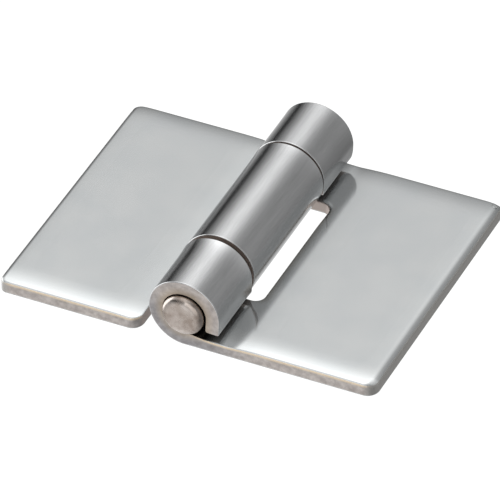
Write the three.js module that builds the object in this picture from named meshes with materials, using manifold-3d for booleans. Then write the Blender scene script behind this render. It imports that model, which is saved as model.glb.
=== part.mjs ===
// Weld-on butt hinge, lying open and flat: two sheet-metal leaves that turn on one pin.
//
// The +Y axis runs along the pin, +X points to the leaf with the two outer knuckles and +Z is up.
// The origin is on the surface that the leaves lie on, below the middle of the pin.
// All sizes are in millimetres and all angles in degrees.

import * as THREE from 'three';
import { mergeVertices } from 'three/addons/utils/BufferGeometryUtils.js';
import Module from 'manifold-3d';

// ---------------------------------------------------------------- driving dimensions

const LENGTH = 60.5;             // both leaves, along the pin
const REACH = 39.2;              // pin axis to the free edge of a leaf
const SHEET = 3;                 // thickness of the sheet
const KNUCKLE_RADIUS = 7.5;      // outside of a knuckle

// The knuckles share the length of the hinge, with a joint on each side of the centre one.
const FRONT_KNUCKLE = 14.3;
const FRONT_JOINT = 1.15;
const CENTRE_KNUCKLE = 31.05;
const BACK_JOINT = 0.5;

// Each leaf is cut back round the other leaf's knuckles. The cuts are measured from the pin axis.
const OUTER_LEAF_CUT = 9.2;      // edge of the notch that the centre knuckle sits in
const CENTRE_LEAF_CUT = 9.6;     // shoulders beside the outer knuckles
const NOTCH_CORNER = 2.1;        // inside corners of the notch
const CUT_CORNER = 1.5;          // inside corners beside the centre knuckle
const SHOULDER_CORNER = 2.5;
const OUTER_LEAF_FRONT_CORNER = 2.5;  // corners at the free edges
const OUTER_LEAF_BACK_CORNER = 0.8;
const CENTRE_LEAF_CORNER = 1.5;

// The sheet curls round the pin until it points down again, and its last stretch is straight.
const CURL_END = -3;             // angle round the pin where the curl stops, 0 is level with the axis
const TIP_LENGTH = 3.1;
const TIP_CORNER = 0.8;

const PIN_CLEARANCE = 0.18;      // between the pin and the bore
const PIN_OVERHANG = 1.2;        // past the knuckles, at each end
const PIN_RIM_WIDTH = 1.4;       // of the rounded rim at each end, seen along the pin
const PIN_RIM_DEPTH = 0.9;       // and along it
const PIN_SAG = 0.09;            // the pin rests this much below, and to the left of, the bore's axis

const ARC_STEPS = 20;            // each arc of an outline gets twice as many facets
const CORNER_STEPS = 4;
const PIN_FACETS = 48;

const BORE_RADIUS = KNUCKLE_RADIUS - SHEET;
const PIN_RADIUS = BORE_RADIUS - PIN_CLEARANCE;
const AXIS_HEIGHT = KNUCKLE_RADIUS;  // a leaf's underside is level with the bottom of its knuckles

const FRONT = -LENGTH / 2;
const BACK = LENGTH / 2;
const NOTCH_FRONT = FRONT + FRONT_KNUCKLE;
const TONGUE_FRONT = NOTCH_FRONT + FRONT_JOINT;
const TONGUE_BACK = TONGUE_FRONT + CENTRE_KNUCKLE;
const NOTCH_BACK = TONGUE_BACK + BACK_JOINT;

// ---------------------------------------------------------------- solids

const manifold = await Module();
manifold.setup();

/** A closed three.js geometry as a solid that can be cut. */
function toSolid(geometry) {
  geometry.deleteAttribute('normal');
  geometry.deleteAttribute('uv');
  const merged = mergeVertices(geometry);
  return new manifold.Manifold(new manifold.Mesh({
    numProp: 3,
    vertProperties: merged.attributes.position.array,
    triVerts: new Uint32Array(merged.index.array),
  }));
}

/** A solid as a three.js geometry. */
function toGeometry(solid) {
  const mesh = solid.getMesh();
  const geometry = new THREE.BufferGeometry();
  geometry.setAttribute('position', new THREE.BufferAttribute(mesh.vertProperties, 3));
  geometry.setIndex(new THREE.BufferAttribute(mesh.triVerts, 1));
  geometry.computeVertexNormals();
  return geometry;
}

/** A closed outline through square corners, each one [x, y, radius]. The first one is rounded. */
function roundedOutline(corners) {
  const shape = new THREE.Shape();
  corners.forEach((corner, index) => {
    const [x, y, radius] = corner;
    const point = new THREE.Vector2(x, y);
    const toPrevious = new THREE.Vector2().fromArray(corners.at(index - 1)).sub(point).normalize();
    const following = corners[(index + 1) % corners.length];
    const toNext = new THREE.Vector2().fromArray(following).sub(point).normalize();
    const centre = point.addScaledVector(toPrevious, radius).addScaledVector(toNext, radius);
    const isInsideCorner = toPrevious.cross(toNext) > 0;
    const startAngle = toNext.negate().angle();
    const endAngle = toPrevious.negate().angle();
    if (radius > 0) shape.absarc(centre.x, centre.y, radius, startAngle, endAngle, isInsideCorner);
    else shape.lineTo(x, y);
  });
  shape.closePath();
  return shape;
}

// ---------------------------------------------------------------- leaves

/**
 * Section of a leaf across the pin, with the pin axis at its origin: a flat plate on the +X side
 * runs under the pin and curls round it, up to a straight tip just above the plate.
 */
function leafSection() {
  const down = -Math.PI / 2;
  const curlEnd = THREE.MathUtils.degToRad(CURL_END);
  const outward = new THREE.Vector2(Math.cos(curlEnd), Math.sin(curlEnd));
  const alongTip = new THREE.Vector2(Math.sin(curlEnd), -Math.cos(curlEnd));
  const cornerStart = TIP_LENGTH - TIP_CORNER;
  const tipPoint = (radius) => outward.clone().multiplyScalar(radius).addScaledVector(alongTip, cornerStart);
  const innerCorner = tipPoint(BORE_RADIUS + TIP_CORNER);
  const outerCorner = tipPoint(KNUCKLE_RADIUS - TIP_CORNER);

  const section = new THREE.Shape();
  section.moveTo(REACH, -BORE_RADIUS);
  section.lineTo(0, -BORE_RADIUS);
  section.absarc(0, 0, BORE_RADIUS, down, curlEnd, true);
  section.absarc(innerCorner.x, innerCorner.y, TIP_CORNER, curlEnd - Math.PI, curlEnd + down, false);
  section.absarc(outerCorner.x, outerCorner.y, TIP_CORNER, curlEnd + down, curlEnd, false);
  section.absarc(0, 0, KNUCKLE_RADIUS, curlEnd, down, false);
  section.lineTo(REACH, -KNUCKLE_RADIUS);
  section.closePath();
  return section;
}

/** The section drawn out along the pin, with its plate at heading 0 for +X or 180 for -X. */
function leafBar(heading) {
  const bar = new THREE.ExtrudeGeometry(leafSection(), {
    depth: LENGTH,
    bevelEnabled: false,
    curveSegments: ARC_STEPS,
  });
  bar.rotateX(Math.PI / 2);
  bar.translate(0, LENGTH / 2, AXIS_HEIGHT);
  bar.rotateZ(THREE.MathUtils.degToRad(heading));
  return toSolid(bar);
}

/** A leaf: the bar, cut to the leaf's outline seen from above. */
function leafGeometry(heading, corners) {
  const blank = new THREE.ExtrudeGeometry(roundedOutline(corners), {
    depth: 4 * KNUCKLE_RADIUS,
    bevelEnabled: false,
    curveSegments: CORNER_STEPS,
  });
  blank.translate(0, 0, -KNUCKLE_RADIUS);
  return toGeometry(leafBar(heading).intersect(toSolid(blank)));
}

const PAST_KNUCKLE = 2 * KNUCKLE_RADIUS;

const outerLeafOutline = [
  [REACH, FRONT, OUTER_LEAF_FRONT_CORNER],
  [REACH, BACK, OUTER_LEAF_BACK_CORNER],
  [-PAST_KNUCKLE, BACK, 0],
  [-PAST_KNUCKLE, NOTCH_BACK, 0],
  [OUTER_LEAF_CUT, NOTCH_BACK, NOTCH_CORNER],
  [OUTER_LEAF_CUT, NOTCH_FRONT, NOTCH_CORNER],
  [-PAST_KNUCKLE, NOTCH_FRONT, 0],
  [-PAST_KNUCKLE, FRONT, 0],
];

const centreLeafOutline = [
  [-REACH, FRONT, CENTRE_LEAF_CORNER],
  [-CENTRE_LEAF_CUT, FRONT, SHOULDER_CORNER],
  [-CENTRE_LEAF_CUT, TONGUE_FRONT, CUT_CORNER],
  [PAST_KNUCKLE, TONGUE_FRONT, 0],
  [PAST_KNUCKLE, TONGUE_BACK, 0],
  [-CENTRE_LEAF_CUT, TONGUE_BACK, CUT_CORNER],
  [-CENTRE_LEAF_CUT, BACK, SHOULDER_CORNER],
  [-REACH, BACK, CENTRE_LEAF_CORNER],
];

// ---------------------------------------------------------------- pin

/** The pin, a plain round bar with rounded ends, turned about its own axis. */
function pinGeometry() {
  const end = LENGTH / 2 + PIN_OVERHANG;
  const faceRadius = PIN_RADIUS - PIN_RIM_WIDTH;
  const rimStart = end - PIN_RIM_DEPTH;
  const quarter = Math.PI / 2;
  const profile = new THREE.Path();
  profile.moveTo(0, -end);
  profile.lineTo(faceRadius, -end);
  profile.absellipse(faceRadius, -rimStart, PIN_RIM_WIDTH, PIN_RIM_DEPTH, -quarter, 0, false);
  profile.absellipse(faceRadius, rimStart, PIN_RIM_WIDTH, PIN_RIM_DEPTH, 0, quarter, false);
  profile.lineTo(0, end);
  return new THREE.LatheGeometry(profile.getPoints(CORNER_STEPS), PIN_FACETS);
}

// ---------------------------------------------------------------- assembly

/** A named piece with a steel of its own. */
function piece(name, geometry, color, roughness) {
  const material = new THREE.MeshStandardMaterial({ color, roughness, metalness: 1 });
  const mesh = new THREE.Mesh(geometry, material);
  mesh.name = name;
  return mesh;
}

const hinge = new THREE.Group();
hinge.add(piece('outer_knuckle_leaf', leafGeometry(0, outerLeafOutline), 0xc4c7c9, 0.3));
hinge.add(piece('centre_knuckle_leaf', leafGeometry(180, centreLeafOutline), 0xc4c7c9, 0.3));

const pin = piece('hinge_pin', pinGeometry(), 0xa39a92, 0.45);
pin.position.set(-PIN_SAG, 0, AXIS_HEIGHT - PIN_SAG);
hinge.add(pin);

export default hinge;
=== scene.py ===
"""Looks of the weld-on butt hinge: two bent steel leaves and their pin, in Blender 4.5.

Each leaf is modelled the way it is made. A flat blank is cut to its outline, with the rounded rim that a
punch leaves, and then bent round the pin. Lengths are in millimetres until a mesh is finished.
"""

import math

import bmesh
import bpy
from mathutils import Matrix, Vector


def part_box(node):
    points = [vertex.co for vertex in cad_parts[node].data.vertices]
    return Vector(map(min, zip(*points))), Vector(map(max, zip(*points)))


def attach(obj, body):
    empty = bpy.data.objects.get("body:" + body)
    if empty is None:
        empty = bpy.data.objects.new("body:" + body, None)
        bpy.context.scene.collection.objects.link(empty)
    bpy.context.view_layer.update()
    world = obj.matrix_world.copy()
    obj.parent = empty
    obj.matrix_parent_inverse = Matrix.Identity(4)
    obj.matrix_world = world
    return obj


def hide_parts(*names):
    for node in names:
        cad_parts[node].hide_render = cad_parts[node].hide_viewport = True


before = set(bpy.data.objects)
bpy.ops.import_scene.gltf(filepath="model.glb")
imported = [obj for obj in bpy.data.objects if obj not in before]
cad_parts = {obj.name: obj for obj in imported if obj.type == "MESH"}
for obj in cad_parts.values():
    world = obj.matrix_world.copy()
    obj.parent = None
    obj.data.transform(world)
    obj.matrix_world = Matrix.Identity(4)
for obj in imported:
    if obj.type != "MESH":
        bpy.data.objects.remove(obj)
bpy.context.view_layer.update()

MM = 0.001

# ---------------------------------------------------------------- sizes

outer_low, outer_high = (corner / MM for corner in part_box("outer_knuckle_leaf"))
pin_low, pin_high = (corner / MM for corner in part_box("hinge_pin"))

REACH = outer_high.x                              # pin axis to the free edge of a leaf
FRONT, BACK = outer_low.y, outer_high.y
KNUCKLE_RADIUS = (outer_high.z - outer_low.z) / 2
AXIS_HEIGHT = KNUCKLE_RADIUS

SHEET = 3.0
FRONT_KNUCKLE = 14.3
FRONT_JOINT = 1.15
CENTRE_KNUCKLE = 31.05
BACK_JOINT = 0.5
OUTER_LEAF_CUT = 9.2                              # pin axis to the edge of the notch
CENTRE_LEAF_CUT = 9.6                             # pin axis to the shoulders of the other leaf
NOTCH_CORNER = 2.1
CUT_CORNER = 1.5
SHOULDER_CORNER = 2.5
OUTER_LEAF_FRONT_CORNER = 2.5
OUTER_LEAF_BACK_CORNER = 0.8
CENTRE_LEAF_CORNER = 1.5
TIP_EDGE_CORNER = 0.6                             # seen square on to the sheet
TIP_BACK_CORNER = 2.2

CURL_ANGLE = math.radians(273)
TIP_LENGTH = 3.1
TIP_ROUNDING = 0.9                                # seen along the pin

NOTCH_FRONT = FRONT + FRONT_KNUCKLE
TONGUE_FRONT = NOTCH_FRONT + FRONT_JOINT
TONGUE_BACK = TONGUE_FRONT + CENTRE_KNUCKLE
NOTCH_BACK = TONGUE_BACK + BACK_JOINT

HALF_SHEET = SHEET / 2
MIDDLE_RADIUS = KNUCKLE_RADIUS - HALF_SHEET       # of the curl, at the middle of the sheet
CURL_START = REACH                                # along the blank, from its free edge
CURL_END = CURL_START + MIDDLE_RADIUS * CURL_ANGLE
BLANK_END = CURL_END + TIP_LENGTH

# ---------------------------------------------------------------- flat blanks

ROLL_RADIUS = 0.6                                 # the punch rounds the top edge by this much,
ROLL_ANGLE = math.radians(33)                     # down to this slope, where the cut side starts
CORNER_BREAK = 0.12
BOTTOM_RIM = 0.25
CURL_ROLL = 0.3                                   # share of the roll that is left inside the curl
KNUCKLE_RIM = 0.6                                 # share of the bottom rim that is left outside it
KNUCKLE_FADE = (-3.0, 4.0)                        # past the start of the curl, where these shares set in
OUTER_FREE_EDGE_ROLL = 4.6                        # how much larger the roll is along the free edges
CENTRE_FREE_EDGE_ROLL = 2.3
FREE_EDGE_FADE = 2.5
NOTCH_ROLL = 2.4                                  # and round the back corner of the notch
NOTCH_ROLL_FADE = (3.0, 7.0)
ROLL_STEPS = 6
BREAK_STEPS = 3
RIM_STEPS = 4
RIM_SUPPORT = 0.06                                # loops that keep the flats flat beside a rim
DIP = 0.13                                        # how far the top face dips beside a punched edge
DIP_WIDTH = 6.0
STEEP_DIP = 0.24                                  # and how much further it dips close to it
STEEP_DIP_WIDTH = 1.0
FREE_EDGE_DIP = 0.5                               # share of it that a free edge has
CURL_DIP = 0.3                                    # how far the top face dips beside the curl
CURL_DIP_WIDTH = 7.0
DIP_FADE = 5.0                                    # before the curl, where the dips along the plate run out
FRONT_FLARE = 0.17                                # how far each knuckle flares towards its back end
CENTRE_FLARE = 0.09
BACK_FLARE = 0.05
FLARE_WIDTH = 2.2
FLARE_FADE = 6.0                                  # past the start of the curl, where the flares set in

OUTLINE_STEP = 1.0                                # between the points along a straight edge
ARC_STEPS = 12
SAME_PLACE = 0.01
MERGE_DISTANCE = 1e-5

# How far apart the sheet is sliced, so that it can dip and bend.
EDGE_SLICE = 0.12                                 # beside an edge, growing apart over the edge zone
EDGE_SLICE_GROWTH = 0.028
EDGE_SLICES = 13
EDGE_ZONE = 7.0
PLATE_SLICE = 2.0
PLATE_CROSS_SLICE = 1.5
NEAR_CURL = 15.0                                  # stretch of plate in front of the curl, and its slices
NEAR_CURL_SLICE = 0.75
CURL_SLICE = 0.26
TIP_SLICE = 0.7
TIP_END_SLICES = 8

FACE, EDGE = 0, 1                                 # material indices of a leaf


def rounded_outline(corners):
    """Points round a counterclockwise outline of square corners (s, t, radius), with inward normals."""
    points = []
    for index, (s, t, radius) in enumerate(corners):
        corner = Vector((s, t))
        to_last = (Vector(corners[index - 1][:2]) - corner).normalized()
        to_next = (Vector(corners[(index + 1) % len(corners)][:2]) - corner).normalized()
        centre = corner + radius * (to_last + to_next)
        is_inside_corner = to_last.cross(to_next) > 0
        for step in range(ARC_STEPS + 1):
            angle = math.pi / 2 * step / ARC_STEPS
            spoke = -(math.cos(angle) * to_next + math.sin(angle) * to_last)
            points.append((centre + radius * spoke, spoke if is_inside_corner else -spoke))
    outline = []
    for (start, inward), (end, _) in zip(points, points[1:] + points[:1]):
        count = max(1, round((end - start).length / OUTLINE_STEP))
        outline += [(start.lerp(end, index / count), inward) for index in range(count)]
    return outline


def past(origin, distances):
    """A pair of distances past a place, as a pair of places."""
    return [origin + distance for distance in distances]


def smooth_step(start, end, value):
    """0 before start, 1 after end and a smooth rise between them."""
    share = min(max((value - start) / (end - start), 0), 1)
    return share * share * (3 - 2 * share)


def top_loops():
    """(inset, drop, material) of the loops over the top of a punched edge, from the face to the side."""
    roll_reach = ROLL_RADIUS * math.sin(ROLL_ANGLE) + CORNER_BREAK * (1 - math.sin(ROLL_ANGLE))
    roll_drop = (ROLL_RADIUS - CORNER_BREAK) * (1 - math.cos(ROLL_ANGLE))
    loops = [(roll_reach + RIM_SUPPORT, 0, FACE)]
    for step in range(ROLL_STEPS + 1):
        angle = ROLL_ANGLE * step / ROLL_STEPS
        loops.append((roll_reach - ROLL_RADIUS * math.sin(angle),
                      ROLL_RADIUS * (1 - math.cos(angle)), FACE))
    for step in range(1, BREAK_STEPS + 1):
        angle = ROLL_ANGLE + (math.pi / 2 - ROLL_ANGLE) * step / BREAK_STEPS
        loops.append((CORNER_BREAK * (1 - math.sin(angle)),
                      roll_drop + CORNER_BREAK * (1 - math.cos(angle)), EDGE))
    loops.append((0, roll_drop + CORNER_BREAK + RIM_SUPPORT, EDGE))
    return loops


def bottom_loops():
    """(inset, rise, material) of the loops over the bottom of a punched edge, from the side to the face."""
    loops = [(0, BOTTOM_RIM + RIM_SUPPORT, EDGE)]
    for step in range(RIM_STEPS + 1):
        angle = math.pi / 2 * step / RIM_STEPS
        loops.append((BOTTOM_RIM * (1 - math.cos(angle)), BOTTOM_RIM * (1 - math.sin(angle)), FACE))
    loops.append((BOTTOM_RIM + RIM_SUPPORT, 0, FACE))
    return loops


def into_knuckle(point):
    """0 on the plate, 1 in the curl and a smooth rise between them."""
    return smooth_step(*past(CURL_START, KNUCKLE_FADE), point.x)


def roll_share(point, free_edge_roll, bold_corner):
    """Size of the top edge's roll at a place on the outline of a blank."""
    at_free_edge = 1 - smooth_step(0, FREE_EDGE_FADE, point.x)
    share = 1 + (free_edge_roll - 1) * at_free_edge - (1 - CURL_ROLL) * into_knuckle(point)
    if bold_corner:
        to_corner = (point - Vector(bold_corner)).length
        share *= 1 + (NOTCH_ROLL - 1) * (1 - smooth_step(*NOTCH_ROLL_FADE, to_corner))
    return share


def rim_share(point):
    """Size of the bottom edge's rim at a place on the outline of a blank."""
    return 1 - (1 - KNUCKLE_RIM) * into_knuckle(point)


def blank_mesh(corners, free_edge_roll, bold_corner):
    """A flat blank, with x along the sheet from its free edge, y along the pin and z across the sheet."""
    bm = bmesh.new()
    outline = rounded_outline(corners)
    rings = []
    for inset, drop, material in top_loops():
        ring = []
        for point, inward in outline:
            share = roll_share(point, free_edge_roll, bold_corner)
            ring.append(bm.verts.new((*(point + share * inset * inward), HALF_SHEET - share * drop)))
        rings.append((ring, material))
    for inset, rise, material in bottom_loops():
        ring = []
        for point, inward in outline:
            share = rim_share(point)
            ring.append(bm.verts.new((*(point + share * inset * inward), share * rise - HALF_SHEET)))
        rings.append((ring, material))
    for (upper, _), (lower, material) in zip(rings, rings[1:]):
        for index in range(len(outline)):
            last = index - 1
            bm.faces.new((upper[last], upper[index], lower[index], lower[last])).material_index = material
    bm.faces.new(rings[0][0])
    bm.faces.new(rings[-1][0])
    bmesh.ops.remove_doubles(bm, verts=bm.verts, dist=MERGE_DISTANCE)
    return bm


def slice_across(bm, axis, positions, limit):
    """Cuts every face that a plane at one of the positions crosses, where the sheet is below limit."""
    normal = Vector((axis == 0, axis == 1, 0))
    for position in positions:
        crossed = []
        for face in bm.faces:
            reach = [vert.co[axis] for vert in face.verts]
            if min(reach) < position < max(reach) and face.calc_center_median().x < limit:
                crossed.append(face)
        edges = {edge for face in crossed for edge in face.edges}
        verts = {vert for face in crossed for vert in face.verts}
        bmesh.ops.bisect_plane(bm, geom=[*crossed, *edges, *verts], dist=MERGE_DISTANCE,
                               plane_co=normal * position, plane_no=normal)


def spread(start, end, step):
    """Evenly spaced values strictly between start and end, about step apart."""
    count = max(1, round((end - start) / step))
    return [start + (end - start) * index / count for index in range(1, count)]


def steps_from_edge():
    """Distances from an edge that grow apart, for the slices that its dip needs."""
    counts = range(1, EDGE_SLICES + 1)
    return [EDGE_SLICE * count + EDGE_SLICE_GROWTH * count * count for count in counts]


def bend(s, n):
    """Where a point of the flat blank goes: its place across the pin, with the plate on the +X side."""
    along_tip = s - CURL_END
    if s < CURL_START:
        return REACH - s, -MIDDLE_RADIUS + n
    turned = min(s - CURL_START, CURL_END - CURL_START) / MIDDLE_RADIUS
    angle = -math.pi / 2 - turned
    radius = MIDDLE_RADIUS - n
    x, z = radius * math.cos(angle), radius * math.sin(angle)
    if along_tip > 0:
        x += along_tip * math.sin(angle)
        z -= along_tip * math.cos(angle)
    return x, z


def dip(distance):
    """How far the top face dips at a distance from a punched edge."""
    distance = max(distance, 0)
    return DIP * max(1 - distance / DIP_WIDTH, 0) ** 2 + STEEP_DIP * math.exp(-distance / STEEP_DIP_WIDTH)


def curl_dip(s):
    """How far the top face dips where the plate runs into the curl."""
    x = REACH - s
    if x > OUTER_LEAF_CUT:
        return CURL_DIP * max(1 - (x - OUTER_LEAF_CUT) / CURL_DIP_WIDTH, 0) ** 2
    return CURL_DIP * smooth_step(0, OUTER_LEAF_CUT, x)


def tip_thickness(s):
    """Share of the sheet's thickness that is left near the rounded end of the blank."""
    to_end = max(BLANK_END - s, 0)
    if to_end >= TIP_ROUNDING:
        return 1
    rounding = math.sqrt(TIP_ROUNDING ** 2 - (TIP_ROUNDING - to_end) ** 2)
    return (HALF_SHEET - TIP_ROUNDING + rounding) / HALF_SHEET


def flare_sink(y, flares):
    """How far the outside of a knuckle is sunk at a place along the pin, ahead of its flared back end."""
    for end, flare in flares:
        if y < end + SAME_PLACE:
            return flare * (1 - math.exp((y - end) / FLARE_WIDTH))
    return 0


def slice_blank(bm, heading, flares):
    """Slices a blank as finely as its bend and its dips need."""
    everywhere = BLANK_END + 1
    tip_end = BLANK_END - TIP_ROUNDING
    slice_across(bm, 0, steps_from_edge(), everywhere)
    slice_across(bm, 0, spread(EDGE_ZONE, REACH - NEAR_CURL, PLATE_SLICE), everywhere)
    slice_across(bm, 0, spread(REACH - NEAR_CURL, CURL_START, NEAR_CURL_SLICE), everywhere)
    slice_across(bm, 0, [CURL_START, *spread(CURL_START, CURL_END, CURL_SLICE), CURL_END], everywhere)
    slice_across(bm, 0, spread(CURL_END, tip_end, TIP_SLICE), everywhere)
    for step in range(TIP_END_SLICES):
        angle = math.pi / 2 * step / TIP_END_SLICES
        slice_across(bm, 0, [tip_end + TIP_ROUNDING * math.sin(angle)], everywhere)
    slice_across(bm, 1, [FRONT + step for step in steps_from_edge()], CURL_START)
    slice_across(bm, 1, spread(FRONT + EDGE_ZONE, BACK - EDGE_ZONE, PLATE_CROSS_SLICE), CURL_START)
    slice_across(bm, 1, [BACK - step for step in steps_from_edge()], CURL_START)
    for end, _ in flares:
        slice_across(bm, 1, [heading * (end - step) for step in steps_from_edge()], everywhere)


def smooth_object(bm, name):
    """A smooth-shaded object made from a bmesh."""
    bmesh.ops.recalc_face_normals(bm, faces=bm.faces)
    mesh = bpy.data.meshes.new(name)
    bm.to_mesh(mesh)
    bm.free()
    mesh.shade_smooth()
    piece = bpy.data.objects.new(name, mesh)
    bpy.context.scene.collection.objects.link(piece)
    return piece


def bent_leaf(name, corners, heading, free_edge_roll, flares, bold_corner):
    """A finished leaf: blank, slices, dips and bend. Heading is 1 for a plate towards +X and -1 for -X."""
    bm = blank_mesh(corners, free_edge_roll, bold_corner)
    slice_blank(bm, heading, flares)
    flat = bm.verts.layers.float_vector.new("blank")
    for vert in bm.verts:
        s, t, n = vert.co
        vert[flat] = vert.co
        share_up = (n + HALF_SHEET) / SHEET
        in_plate = 1 - smooth_step(CURL_START - DIP_FADE, CURL_START, s)
        in_curl = smooth_step(CURL_START, CURL_START + FLARE_FADE, s)
        top_sink = FREE_EDGE_DIP * dip(s) + in_plate * (dip(t - FRONT) + dip(BACK - t)) + curl_dip(s)
        bottom_sink = in_curl * flare_sink(heading * t, flares)
        sunk = n - share_up * top_sink + (1 - share_up) * bottom_sink
        x, z = bend(s, sunk * tip_thickness(s))
        vert.co = heading * x * MM, heading * t * MM, (AXIS_HEIGHT + z) * MM
    return smooth_object(bm, name)


def along_blank(x):
    """Distance from the blank's free edge to a place on the flat plate."""
    return REACH - x


OUTER_LEAF_BLANK = [
    (0, FRONT, OUTER_LEAF_FRONT_CORNER),
    (BLANK_END, FRONT, TIP_EDGE_CORNER),
    (BLANK_END, NOTCH_FRONT, TIP_EDGE_CORNER),
    (along_blank(OUTER_LEAF_CUT), NOTCH_FRONT, NOTCH_CORNER),
    (along_blank(OUTER_LEAF_CUT), NOTCH_BACK, NOTCH_CORNER),
    (BLANK_END, NOTCH_BACK, TIP_EDGE_CORNER),
    (BLANK_END, BACK, TIP_BACK_CORNER),
    (0, BACK, OUTER_LEAF_BACK_CORNER),
]

# This leaf is turned half round after bending, so its front comes last along the blank.
CENTRE_LEAF_BLANK = [
    (0, -BACK, CENTRE_LEAF_CORNER),
    (along_blank(CENTRE_LEAF_CUT), -BACK, SHOULDER_CORNER),
    (along_blank(CENTRE_LEAF_CUT), -TONGUE_BACK, CUT_CORNER),
    (BLANK_END, -TONGUE_BACK, TIP_EDGE_CORNER),
    (BLANK_END, -TONGUE_FRONT, TIP_EDGE_CORNER),
    (along_blank(CENTRE_LEAF_CUT), -TONGUE_FRONT, CUT_CORNER),
    (along_blank(CENTRE_LEAF_CUT), -FRONT, SHOULDER_CORNER),
    (0, -FRONT, CENTRE_LEAF_CORNER),
]

# ---------------------------------------------------------------- pin

PIN_RIM_WIDTH = 1.4                               # of the rounded rim, seen along the pin
PIN_RIM_DEPTH = 0.9                               # and along it
PIN_FACE_LOOPS = (RIM_SUPPORT, 1.0, 2.0)          # insets of the loops on the flat of an end
PIN_FACETS = 128
PIN_STEPS = 10


def turned_pin(name):
    """The pin: a bar with rounded ends, spun about its own axis."""
    radius = (pin_high.x - pin_low.x) / 2
    middle = (pin_low + pin_high) / 2
    profile = []
    for end, side in ((pin_low.y, -1), (pin_high.y, 1)):
        rim = []
        for step in range(PIN_STEPS + 1):
            angle = math.pi / 2 * step / PIN_STEPS
            rim.append((radius - PIN_RIM_WIDTH * (1 - math.cos(angle)),
                        end - side * PIN_RIM_DEPTH * (1 - math.sin(angle))))
        flat = [(radius - PIN_RIM_WIDTH - inset, end) for inset in PIN_FACE_LOOPS]
        stretch = rim + flat
        profile += stretch[::-1] if side < 0 else stretch
    bm = bmesh.new()
    rings = []
    for ring_radius, y in profile:
        ring = []
        for facet in range(PIN_FACETS):
            angle = 2 * math.pi * facet / PIN_FACETS
            x = middle.x + ring_radius * math.cos(angle)
            z = middle.z + ring_radius * math.sin(angle)
            ring.append(bm.verts.new(Vector((x, y, z)) * MM))
        rings.append(ring)
    for lower, upper in zip(rings, rings[1:]):
        for index in range(PIN_FACETS):
            bm.faces.new((lower[index - 1], lower[index], upper[index], upper[index - 1]))
    bm.faces.new(rings[0])
    bm.faces.new(rings[-1])
    return smooth_object(bm, name)


# ---------------------------------------------------------------- materials

class Nodes:
    """A short way to write the node tree of a material or a world."""

    def __init__(self, owner, shader):
        owner.use_nodes = True
        self.tree = owner.node_tree
        self.shader = self.tree.nodes[shader]

    def set(self, socket, value):
        if isinstance(value, bpy.types.NodeSocket):
            self.tree.links.new(value, socket)
        else:
            socket.default_value = value

    def add(self, kind, inputs=None, **settings):
        node = self.tree.nodes.new(kind)
        for key, value in settings.items():
            setattr(node, key, value)
        for key, value in (inputs or {}).items():
            self.set(node.inputs[key], value)
        return node

    def shade(self, inputs):
        """Sets the shader's own inputs."""
        for key, value in inputs.items():
            self.set(self.shader.inputs[key], value)

    def split(self, vector):
        """The X, Y and Z outputs of a vector."""
        return self.add("ShaderNodeSeparateXYZ", {"Vector": vector}).outputs

    def calculate(self, operation, *values):
        return self.add("ShaderNodeMath", dict(enumerate(values)), operation=operation).outputs[0]

    def product(self, first, *others):
        for other in others:
            first = self.calculate("MULTIPLY", first, other)
        return first

    def vector_math(self, operation, *values):
        return self.add("ShaderNodeVectorMath", dict(enumerate(values)), operation=operation).outputs

    def fade(self, value, start, end, low=0.0, high=1.0, **settings):
        """Low at start, high at end and a straight change between them."""
        return self.add("ShaderNodeMapRange", {
            "Value": value, "From Min": start, "From Max": end, "To Min": low, "To Max": high,
        }, **settings).outputs["Result"]

    def noise(self, place, scale, detail, roughness=0.5):
        return self.add("ShaderNodeTexNoise", {
            "Vector": place, "Scale": scale, "Detail": detail, "Roughness": roughness,
        }).outputs["Fac"]

    def ramp(self, value, stops):
        """A colour ramp, with stops of (place, colour)."""
        node = self.add("ShaderNodeValToRGB", {"Fac": value})
        elements = node.color_ramp.elements
        while len(elements) < len(stops):
            elements.new(1.0)
        for element, (place, colour) in zip(elements, stops):
            element.position = place
            element.color = colour
        return node.outputs["Color"]

    def mix(self, share, first, second, **settings):
        node = self.add("ShaderNodeMix", {"Factor": share, "A": first, "B": second}, **settings)
        return node.outputs["Result"]

    def blend(self, share, first, second, blend_type="MIX"):
        """A mix of two colours."""
        return self.mix(share, first, second, data_type="RGBA", blend_type=blend_type)

    def bump(self, height, strength, distance):
        return self.add("ShaderNodeBump", {
            "Height": height, "Strength": strength, "Distance": distance,
        }).outputs["Normal"]

    def blank_place(self):
        """Place on the flat blank, in millimetres, from before it was bent."""
        return self.add("ShaderNodeAttribute", attribute_name="blank").outputs["Vector"]


MOST_NOISE = (0.3, 0.7)                           # most of a noise's values lie between these

UNDER_TIP_SHADE = (0.03, 0.027, 0.023, 1)                    # painted shade, near black, under the tips and inside the curls
NOTCH_SHADE_AND_REFLECTION = (0.27, 0.25, 0.21, 1)                 # painted shade and dark reflection on the plate beside the notch
NOTCH_SHADE_SHARE = 0.65
BORE_FILM = (0.52, 0.43, 0.32, 1)                 # on the cut edges beside a bore
BORE_FILM_SHARE = 0.75

# Where one finish gives way to the next, and where the darker band round the bend, the painted shade and the
# painted reflection start and end, along the blank: past its free edge, past the start of the curl, or past
# the edge of the notch.
FREE_EDGE_FINISH = (0.8, 2.5)
SATIN_FINISH = (-4.0, 2.0)
CURL_FINISH = (-5.0, 0.0)
UNDER_TIP_SHADE_START = (-8.0, -4.0)
DARKER_BEND_START, DARKER_BEND_END = (-14.0, -4.0), (13.0, 9.0)
NOTCH_SHADE_START = (-1.4, -0.2)
NOTCH_EDGE = REACH - OUTER_LEAF_CUT

# Along the pin: past an end of the hinge or of the centre knuckle, which lies nearly in the middle.
END_FINISH = (-2.0, -1.0)
NOTCH_SHADE_END = (1.0, -1.0)
CENTRE_END = CENTRE_KNUCKLE / 2

# Across the sheet: above its middle, or past its top face.
BORE_FILM_RISE = (-0.4, HALF_SHEET)
TAN_HIGHLIGHT_RISE = (-0.75, -0.2)


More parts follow.
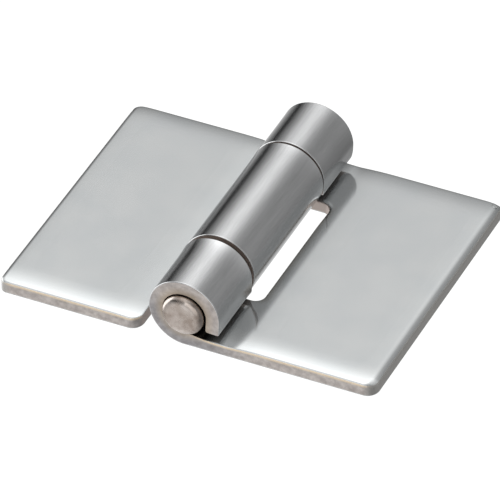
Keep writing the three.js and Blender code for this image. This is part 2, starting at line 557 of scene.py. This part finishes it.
def leaf_face_steel():
    """Cold-rolled face: nearly a mirror on the plates, satin with streaks along the pin on the curls, with
    painted shade under the tips and painted shade and dark reflection beside the notch.
    """
    material = bpy.data.materials.new("leaf_face_steel")
    nodes = Nodes(material, "Principled BSDF")
    place = nodes.blank_place()
    parts = nodes.split(place)
    along = parts["X"]
    in_curl = nodes.fade(along, *past(CURL_START, SATIN_FINISH))

    stretched = nodes.vector_math("MULTIPLY", place, (1, 0.05, 1))[0]
    grain = nodes.noise(stretched, 3.5, 5.0, 0.65)
    cloud = nodes.noise(place, 0.13, 4.0)
    plate_rough = nodes.fade(cloud, *MOST_NOISE, 0.11, 0.15)
    curl_rough = nodes.fade(grain, *MOST_NOISE, 0.15, 0.2)
    plate_tint = nodes.ramp(cloud, [(0.35, (0.585, 0.605, 0.61, 1)), (0.65, (0.605, 0.62, 0.62, 1))])
    curl_tint = nodes.ramp(grain, [(0.3, (0.60, 0.605, 0.61, 1)), (0.7, (0.65, 0.655, 0.66, 1))])
    clean = nodes.blend(in_curl, plate_tint, curl_tint)

    # Painted shade and dark reflection: darker brown on the top of the plate beside the notch.
    on_bore_side = nodes.calculate("GREATER_THAN", parts["Z"], 0.0)
    beside_knuckle = nodes.fade(along, *past(NOTCH_EDGE, NOTCH_SHADE_START), 0.0, NOTCH_SHADE_SHARE)
    from_middle = nodes.calculate("ABSOLUTE", parts["Y"])
    at_notch = nodes.fade(from_middle, *past(CENTRE_END, NOTCH_SHADE_END))
    notch_shaded = nodes.blend(nodes.product(beside_knuckle, on_bore_side, at_notch), clean, NOTCH_SHADE_AND_REFLECTION)
    # Painted shade: near black on the bore side under the tips and inside the curls.
    under_tip = nodes.fade(along, *past(CURL_START, UNDER_TIP_SHADE_START))
    tip_shaded = nodes.blend(nodes.product(under_tip, on_bore_side), notch_shaded, UNDER_TIP_SHADE)

    nodes.shade({
        "Base Color": tip_shaded,
        "Metallic": nodes.fade(in_curl, 0.0, 1.0, 0.8, 1.0),
        "Roughness": nodes.mix(in_curl, plate_rough, curl_rough),
        "Normal": nodes.bump(grain, nodes.fade(in_curl, 0.0, 1.0, 0.02, 0.08), 0.00006),
    })
    return material


def cut_edge_steel():
    """Sheared edge: matte and a little warm, with painted shade on the long edge of the notch and a pale tan
    painted highlight along the corner that the punch rolled.
    """
    material = bpy.data.materials.new("cut_edge_steel")
    nodes = Nodes(material, "Principled BSDF")
    place = nodes.blank_place()
    parts = nodes.split(place)
    along, height = parts["X"], parts["Z"]
    from_middle = nodes.calculate("ABSOLUTE", parts["Y"])
    off_free_edge = nodes.fade(along, *FREE_EDGE_FINISH)
    in_curl = nodes.fade(along, *past(CURL_START, CURL_FINISH))
    on_plate = nodes.calculate("SUBTRACT", 1.0, in_curl)
    at_hinge_end = nodes.fade(from_middle, *past(BACK, END_FINISH))

    mottle = nodes.noise(place, 0.7, 6.0, 0.6)
    sheared = nodes.ramp(mottle, [(0.33, (0.43, 0.39, 0.37, 1)), (0.67, (0.69, 0.64, 0.61, 1))])
    # Darker and a little cooler round the start of the bend.
    round_bend = nodes.product(nodes.fade(along, *past(CURL_START, DARKER_BEND_START)),
                               nodes.fade(along, *past(CURL_START, DARKER_BEND_END)))
    darker_at_bend = nodes.blend(round_bend, sheared, (0.72, 0.75, 0.80, 1), blend_type="MULTIPLY")

    # Painted shade: the long edge of the notch, deep in the slot facing the knuckle, is darkest, and the
    # edges in the joints are a little dark.
    past_notch = nodes.fade(from_middle, *past(CENTRE_END, END_FINISH))
    notch_shade_and_joint_tone = nodes.blend(past_notch, (0.09, 0.08, 0.07, 1), (0.52, 0.455, 0.42, 1))
    inner = nodes.blend(at_hinge_end, notch_shade_and_joint_tone, darker_at_bend)
    steel = nodes.blend(off_free_edge, (0.50, 0.49, 0.47, 1), inner)

    beside_bore = nodes.fade(height, *BORE_FILM_RISE, 0.0, BORE_FILM_SHARE)
    oiled = nodes.blend(nodes.product(beside_bore, in_curl), steel, BORE_FILM)
    # Painted highlight: a pale tan line along the rolled top corner of the front and back edges of the
    # plates.
    at_corner = nodes.fade(height, *past(HALF_SHEET, TAN_HIGHLIGHT_RISE))
    tan_highlight = nodes.product(at_corner, off_free_edge, on_plate, at_hinge_end)
    speckle = nodes.noise(place, 4.0, 5.0)
    nodes.shade({
        "Base Color": nodes.blend(tan_highlight, oiled, (0.95, 0.80, 0.60, 1)),
        "Metallic": 0.9,
        "Roughness": nodes.fade(speckle, 0.0, 1.0, 0.42, 0.62),
        "Normal": nodes.bump(speckle, 0.35, 0.0001),
    })
    return material


def pin_steel():
    """Cropped pin, mottled and a little brown, with a burnished rim."""
    material = bpy.data.materials.new("pin_steel")
    nodes = Nodes(material, "Principled BSDF")
    place = nodes.add("ShaderNodeTexCoord").outputs["Object"]
    blotch = nodes.noise(place, 330.0, 6.0, 0.6)
    scuff = nodes.noise(place, 900.0, 4.0)
    nodes.shade({
        "Base Color": nodes.ramp(blotch, [(0.33, (0.36, 0.30, 0.26, 1)), (0.62, (0.62, 0.56, 0.52, 1))]),
        "Metallic": 1.0,
        "Roughness": nodes.fade(scuff, 0.0, 1.0, 0.14, 0.36),
        "Normal": nodes.bump(blotch, 0.5, 0.0002),
    })
    return material


# ---------------------------------------------------------------- stage

CAMERA_AZIMUTH = math.radians(25.65)              # to the right of a view along the pin
CAMERA_ELEVATION = math.radians(38.6)
CAMERA_ROLL = math.radians(-0.91)
CAMERA_DISTANCE = 1.372                           # in metres
CAMERA_SENSOR = 36.0                              # in millimetres, as the lens is
CAMERA_LENS = 520.2
AIM = Vector((3.15, -7.75, AXIS_HEIGHT)) * MM     # the place that the camera looks at

FLOOR_DROP = 1.0                                  # below the reach of a leaf that hangs down
FLOOR_SIZE = 4.0                                  # in metres, to each side


def make_camera():
    """A long lens at the photograph's angle: right of the pin's front end, looking down on the leaves."""
    back = Vector((
        math.sin(CAMERA_AZIMUTH) * math.cos(CAMERA_ELEVATION),
        -math.cos(CAMERA_AZIMUTH) * math.cos(CAMERA_ELEVATION),
        math.sin(CAMERA_ELEVATION),
    ))
    data = bpy.data.cameras.new("camera")
    data.sensor_width = CAMERA_SENSOR
    data.lens = CAMERA_LENS
    camera = bpy.data.objects.new("camera", data)
    turn = back.to_track_quat("Z", "Y").to_matrix().to_4x4() @ Matrix.Rotation(CAMERA_ROLL, 4, "Z")
    camera.matrix_world = Matrix.Translation(AIM + CAMERA_DISTANCE * back) @ turn
    bpy.context.scene.collection.objects.link(camera)
    bpy.context.scene.camera = camera


def make_floor():
    """A plain white floor, lit from below as a light table is, which the steel doesn't mirror.

    It lies low enough for a leaf to swing down past the other one.
    """
    bm = bmesh.new()
    bmesh.ops.create_grid(bm, x_segments=4, y_segments=4, size=FLOOR_SIZE)
    floor = smooth_object(bm, "floor")
    floor.location.z = (AXIS_HEIGHT - REACH - FLOOR_DROP) * MM
    material = bpy.data.materials.new("floor_white")
    Nodes(material, "Principled BSDF").shade({
        "Base Color": (0.1, 0.1, 0.1, 1),
        "Roughness": 1.0,
        "Emission Color": (1, 1, 1, 1),
        "Emission Strength": 0.98,
    })
    floor.data.materials.append(material)
    floor.visible_glossy = False


LIGHT_STRENGTH = 4.4

# Brightness of the studio round the pin: 0 degrees is level on the right and 90 is overhead.
ARCH = [
    (-180, 0.04), (-150, 0.20), (-118, 0.40), (-92, 0.28), (-72, 0.18), (-62, 0.12), (-50, 0.085),
    (-36, 0.10), (-10, 0.12), (15, 0.145), (43, 0.135), (55, 0.155), (65, 0.185), (74, 0.25), (83, 0.35),
    (93, 0.44), (104, 0.48), (112, 0.455), (118, 0.395), (124, 0.37), (136, 0.25), (148, 0.14),
    (160, 0.075), (168, 0.015), (180, 0.0),
]

# And along the pin, as a multiple of that: -1 is the front and 1 is the back.
SPAN = [
    (-1.0, 0.38), (-0.7, 0.56), (-0.3, 0.60), (-0.1, 0.48), (0.08, 0.55), (0.25, 1.0), (0.55, 1.0),
    (0.64, 0.82), (0.685, 0.52), (0.725, 0.48), (0.77, 0.34), (0.85, 0.30), (1.0, 0.25),
]

# Soft panels that add to it: direction, cosine of the angle from there to the outer and to the inner edge,
# and brightness.
PANELS = [
    ((-1, 0, 0), 0.75, 0.9, 0.45),
    ((0.15, -0.98, 0), 0.84, 1.0, 0.24),
]


def grey_ramp(nodes, value, low, high, stops):
    """A ramp of greys over a value that runs from low to high."""
    greys = [((place - low) / (high - low), (grey, grey, grey, 1)) for place, grey in stops]
    return nodes.ramp(nodes.fade(value, low, high), greys)


def make_light():
    """Soft studio light: a pale arch over the pin, brightest overhead and to the left, dim behind."""
    world = bpy.data.worlds.new("studio")
    bpy.context.scene.world = world
    nodes = Nodes(world, "Background")
    direction = nodes.add("ShaderNodeTexCoord").outputs["Generated"]
    parts = nodes.split(direction)
    degrees = nodes.calculate("DEGREES", nodes.calculate("ARCTAN2", parts["Z"], parts["X"]))
    arch = grey_ramp(nodes, degrees, -180, 180, ARCH)
    span = grey_ramp(nodes, parts["Y"], -1, 1, SPAN)
    light = nodes.vector_math("MULTIPLY", arch, span)[0]
    for towards, outer, inner, brightness in PANELS:
        nearness = nodes.vector_math("DOT_PRODUCT", direction, Vector(towards).normalized())["Value"]
        panel = nodes.fade(nearness, outer, inner, 0.0, brightness, interpolation_type="SMOOTHSTEP")
        light = nodes.vector_math("ADD", light, panel)[0]
    nodes.shade({"Color": light, "Strength": LIGHT_STRENGTH})
    bpy.context.scene.view_settings.view_transform = "Standard"


# ---------------------------------------------------------------- assembly

make_camera()
make_floor()
make_light()

face_steel = leaf_face_steel()
edge_steel = cut_edge_steel()
outer_leaf = bent_leaf("outer_leaf", OUTER_LEAF_BLANK, 1, OUTER_FREE_EDGE_ROLL,
                       [(NOTCH_FRONT, FRONT_FLARE), (BACK, BACK_FLARE)],
                       (along_blank(OUTER_LEAF_CUT), NOTCH_BACK))
centre_leaf = bent_leaf("centre_leaf", CENTRE_LEAF_BLANK, -1, CENTRE_FREE_EDGE_ROLL,
                        [(TONGUE_BACK, CENTRE_FLARE)], None)
for leaf, node, body in (
    (outer_leaf, "outer_knuckle_leaf", "outer_leaf"),
    (centre_leaf, "centre_knuckle_leaf", "centre_leaf"),
):
    leaf.data.materials.append(face_steel)
    leaf.data.materials.append(edge_steel)
    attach(leaf, body)
    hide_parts(node)

pin = turned_pin("pin")
pin.data.materials.append(pin_steel())
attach(pin, "outer_leaf")
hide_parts("hinge_pin")
